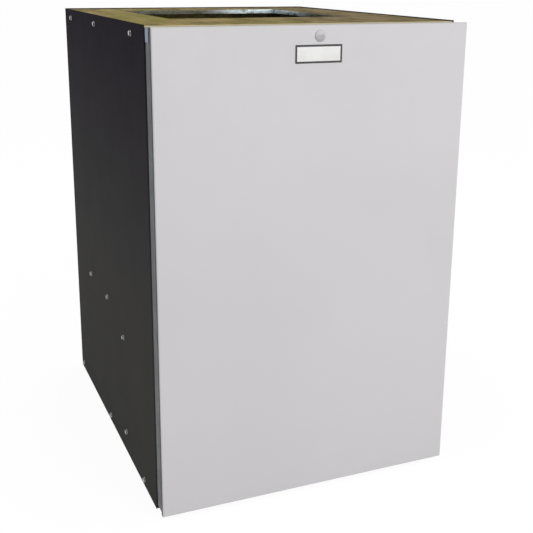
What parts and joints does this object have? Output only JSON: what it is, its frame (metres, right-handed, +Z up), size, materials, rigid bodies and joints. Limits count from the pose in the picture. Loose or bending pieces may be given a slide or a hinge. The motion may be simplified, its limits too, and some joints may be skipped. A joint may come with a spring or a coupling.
{
  "type": "electric furnace",
  "caption": "Upright sheet metal electric furnace with a lift-off front door, a top return opening, a blower and open-coil heaters above a base outlet.",
  "frame": {"origin": "on the floor under the middle of the whole furnace", "axes": "+Z up, the door faces -Y, +X to the right seen from the door"},
  "size_m": [0.514, 0.6406, 0.762],
  "materials": {
    "dark_paint": "satin",
    "pale_paint": "satin",
    "gold_zinc_steel": "satin",
    "galvanised_steel": "satin",
    "foil_faced_wool": "satin",
    "foam_gasket": "matte",
    "black_plastic": "matte",
    "pale_plastic": "satin",
    "zinc_screws": "satin",
    "bright_steel": "satin",
    "black_paint": "satin",
    "capacitor_can": "satin",
    "white_ceramic": "matte",
    "winding_tape": "satin",
    "resistance_wire": "matte",
    "wire_jacket": "satin",
    "thin_wire_jacket": "satin",
    "toggle_plastic": "satin"
  },
  "bodies": {
    "cabinet": {"side_panel_left": "dark_paint", "side_panel_right": "dark_paint", "back_panel": "dark_paint", "top_panel": "gold_zinc_steel", "base_panel": "gold_zinc_steel", "base_fittings": "gold_zinc_steel", "partition": "galvanised_steel", "blower_access_panel": "galvanised_steel", "blower_deck": "galvanised_steel", "liners": "foil_faced_wool", "door_gasket": "foam_gasket", "cable_bushings": "black_plastic", "side_screws_left": "zinc_screws", "side_screws_right": "zinc_screws", "back_screws": "zinc_screws", "panel_screws": "zinc_screws", "blower_scroll": "galvanised_steel", "blower_side_left": "galvanised_steel", "blower_side_right": "galvanised_steel", "inlet_ring_left": "galvanised_steel", "inlet_ring_right": "galvanised_steel", "motor_shell": "black_paint", "motor_end_bells": "bright_steel", "motor_mount": "galvanised_steel", "run_capacitor": "capacitor_can", "capacitor_strap": "galvanised_steel", "heater_insulators": "white_ceramic", "limit_switches": "black_plastic", "transformer_core": "black_paint", "transformer_coil": "winding_tape", "fan_relay": "black_plastic", "thermostat_terminals": "black_plastic", "breaker_bracket": "galvanised_steel", "ground_lug": "capacitor_can", "power_wires": "wire_jacket", "control_wires": "thin_wire_jacket", "heater_plate_1": "galvanised_steel", "heater_frame_1": "galvanised_steel", "heater_coil_1": "resistance_wire", "sequencer_1": "black_plastic", "heater_plate_2": "galvanised_steel", "heater_frame_2": "galvanised_steel", "heater_coil_2": "resistance_wire", "sequencer_2": "black_plastic", "heater_plate_3": "galvanised_steel", "heater_frame_3": "galvanised_steel", "heater_coil_3": "resistance_wire", "sequencer_3": "black_plastic", "breaker_1": "black_plastic", "breaker_2": "black_plastic"},
    "door": {"door_skin": "pale_paint", "door_frame": "galvanised_steel", "door_liner": "foil_faced_wool", "fastener_sleeve": "galvanised_steel"},
    "fastener": {"door_fastener": "pale_plastic"},
    "blower": {"blower_wheel": "galvanised_steel", "wheel_hub": "galvanised_steel", "motor_shaft": "bright_steel"},
    "toggle_1": {"breaker_toggle_1": "toggle_plastic"},
    "toggle_2": {"breaker_toggle_2": "toggle_plastic"}
  },
  "joints": [
    {"name": "door_lift_off", "type": "slide", "parent": "cabinet", "child": "door", "axis": [0, -1, 0], "range_m": [0, 0.45]},
    {"name": "fastener_turn", "type": "hinge", "parent": "door", "child": "fastener", "pos_m": [0, -0.31775, 0.7445], "axis": [0, -1, 0], "continuous": true},
    {"name": "blower_spin", "type": "hinge", "parent": "cabinet", "child": "blower", "pos_m": [0, 0.07025, 0.428], "axis": [1, 0, 0], "continuous": true},
    {"name": "toggle_1_flip", "type": "hinge", "parent": "cabinet", "child": "toggle_1", "pos_m": [0.142, -0.19575, 0.365], "axis": [1, 0, 0], "range_deg": [0, 50]},
    {"name": "toggle_2_flip", "type": "hinge", "parent": "cabinet", "child": "toggle_2", "pos_m": [0.198, -0.19575, 0.365], "axis": [1, 0, 0], "range_deg": [0, 50]}
  ]
}
